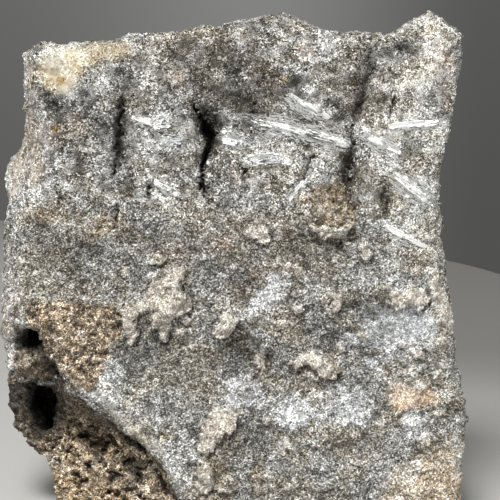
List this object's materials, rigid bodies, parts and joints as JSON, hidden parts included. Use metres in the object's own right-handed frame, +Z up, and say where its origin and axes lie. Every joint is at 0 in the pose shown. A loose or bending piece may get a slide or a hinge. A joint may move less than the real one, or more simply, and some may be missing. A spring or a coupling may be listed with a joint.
{
  "type": "native tellurium specimen",
  "caption": "Hand-sized block of grey quartz rock with a flat foot, carrying bundles of bright tellurium blades across its clefted upper face.",
  "frame": {"origin": "middle of the specimen's bounding box at the level of the flat foot it stands on", "axes": "+Z up along the height, +X to the right and -Y out of the face that carries the tellurium blades"},
  "size_m": [0.0531, 0.0325, 0.057],
  "materials": {
    "quartz_rock": "dull, fine-grained broken rock with pale crusts and tan stains",
    "tellurium": "bright metallic, finely striated along the blades"
  },
  "bodies": {
    "root": {"host_rock": "quartz_rock", "tellurium_blades_main": "tellurium", "tellurium_blades_upper": "tellurium", "tellurium_blades_cleft_side": "tellurium", "tellurium_blades_left_high": "tellurium", "tellurium_blades_left_low": "tellurium", "tellurium_blades_fan": "tellurium", "tellurium_blades_right_high": "tellurium", "tellurium_blades_right_low": "tellurium", "tellurium_blades_right_streak": "tellurium", "tellurium_needle": "tellurium"}
  },
  "joints": []
}
